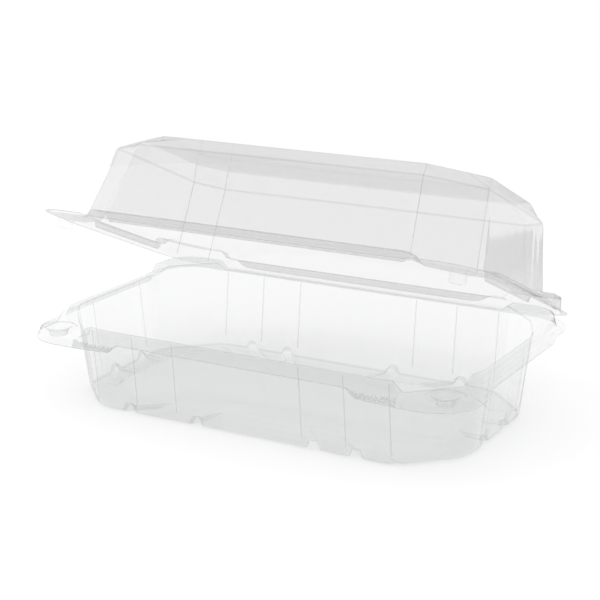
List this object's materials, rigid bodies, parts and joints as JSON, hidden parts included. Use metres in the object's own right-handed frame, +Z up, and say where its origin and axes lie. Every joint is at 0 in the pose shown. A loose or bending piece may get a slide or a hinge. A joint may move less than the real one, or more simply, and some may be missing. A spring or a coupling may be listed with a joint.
{
  "type": "hinged clear plastic clamshell pack",
  "caption": "Clear thermoformed clamshell pack with a deep tray, a domed hinged lid, snap buttons in the front corners and thumb tabs.",
  "frame": {"origin": "middle of the tray's trimmed outline, on the plane that its feet stand on; the half-open lid reaches 2 mm past the back, so this is the bottom centre of the whole pack to about 1 mm", "axes": "+Z up out of the tray, +X along the long side, +Y towards the living hinge at the back, the thumb tabs at -Y"},
  "size_m": [0.229, 0.1391, 0.1237],
  "materials": {
    "clear_sheet_tray": "clear gloss",
    "clear_sheet_lid": "clear gloss"
  },
  "bodies": {
    "tray": {"tray": "clear_sheet_tray"},
    "lid": {"lid": "clear_sheet_lid"}
  },
  "joints": [
    {"name": "lid_hinge", "type": "hinge", "parent": "tray", "child": "lid", "pos_m": [0, 0.06865, 0.0387], "axis": [-1, 0, 0], "range_deg": [-23.3, 131.7]}
  ]
}
